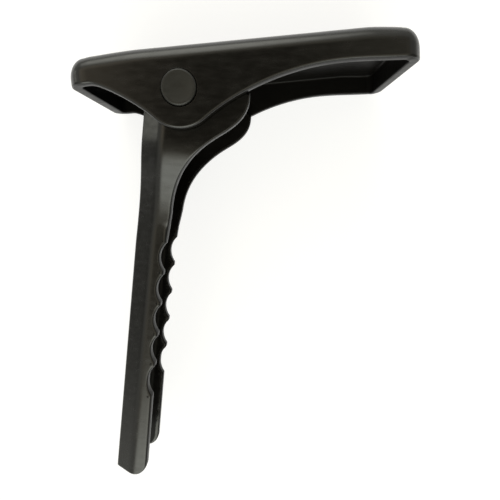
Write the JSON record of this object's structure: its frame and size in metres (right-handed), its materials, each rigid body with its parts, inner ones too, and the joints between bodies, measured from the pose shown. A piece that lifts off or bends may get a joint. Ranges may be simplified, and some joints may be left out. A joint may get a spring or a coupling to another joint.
{
  "type": "spring clamp",
  "caption": "Hand spring clamp of two black channel-section plastic levers on one capped pivot, with scalloped grip edges and a torsion spring that pushes them open",
  "frame": {"origin": "on the pivot axis, in the plane of the wide lever's side face that the clamp lies on", "axes": "+Z along the pivot axis, up from the side face that the clamp lies on; the grip points to -Y and the wide lever's long arm to +X"},
  "size_m": [0.1028, 0.1493, 0.0458],
  "materials": {
    "lever_plastic": "moulded black nylon, semi-gloss",
    "cap_plastic": "moulded black nylon, satin",
    "pin_steel": "turned, zinc plated",
    "nylon": "natural nylon",
    "spring_wire": "drawn spring wire"
  },
  "bodies": {
    "wide": {"wide_lever": "lever_plastic", "pivot_pin": "pin_steel", "head_cap": "cap_plastic", "tail_cap": "cap_plastic", "retaining_ring": "pin_steel", "head_washer": "nylon", "tail_washer": "nylon", "spring_sleeve": "nylon", "torsion_spring": "spring_wire"},
    "grip": {"grip_lever": "lever_plastic"}
  },
  "joints": [
    {"name": "squeeze", "type": "hinge", "parent": "wide", "child": "grip", "pos_m": [0, 0, 0.0225], "axis": [0, 0, 1], "range_deg": [0, 34], "stiffness_Nm_per_rad": 0.62, "springref_deg": -34.38, "deforming": ["torsion_spring"]}
  ]
}
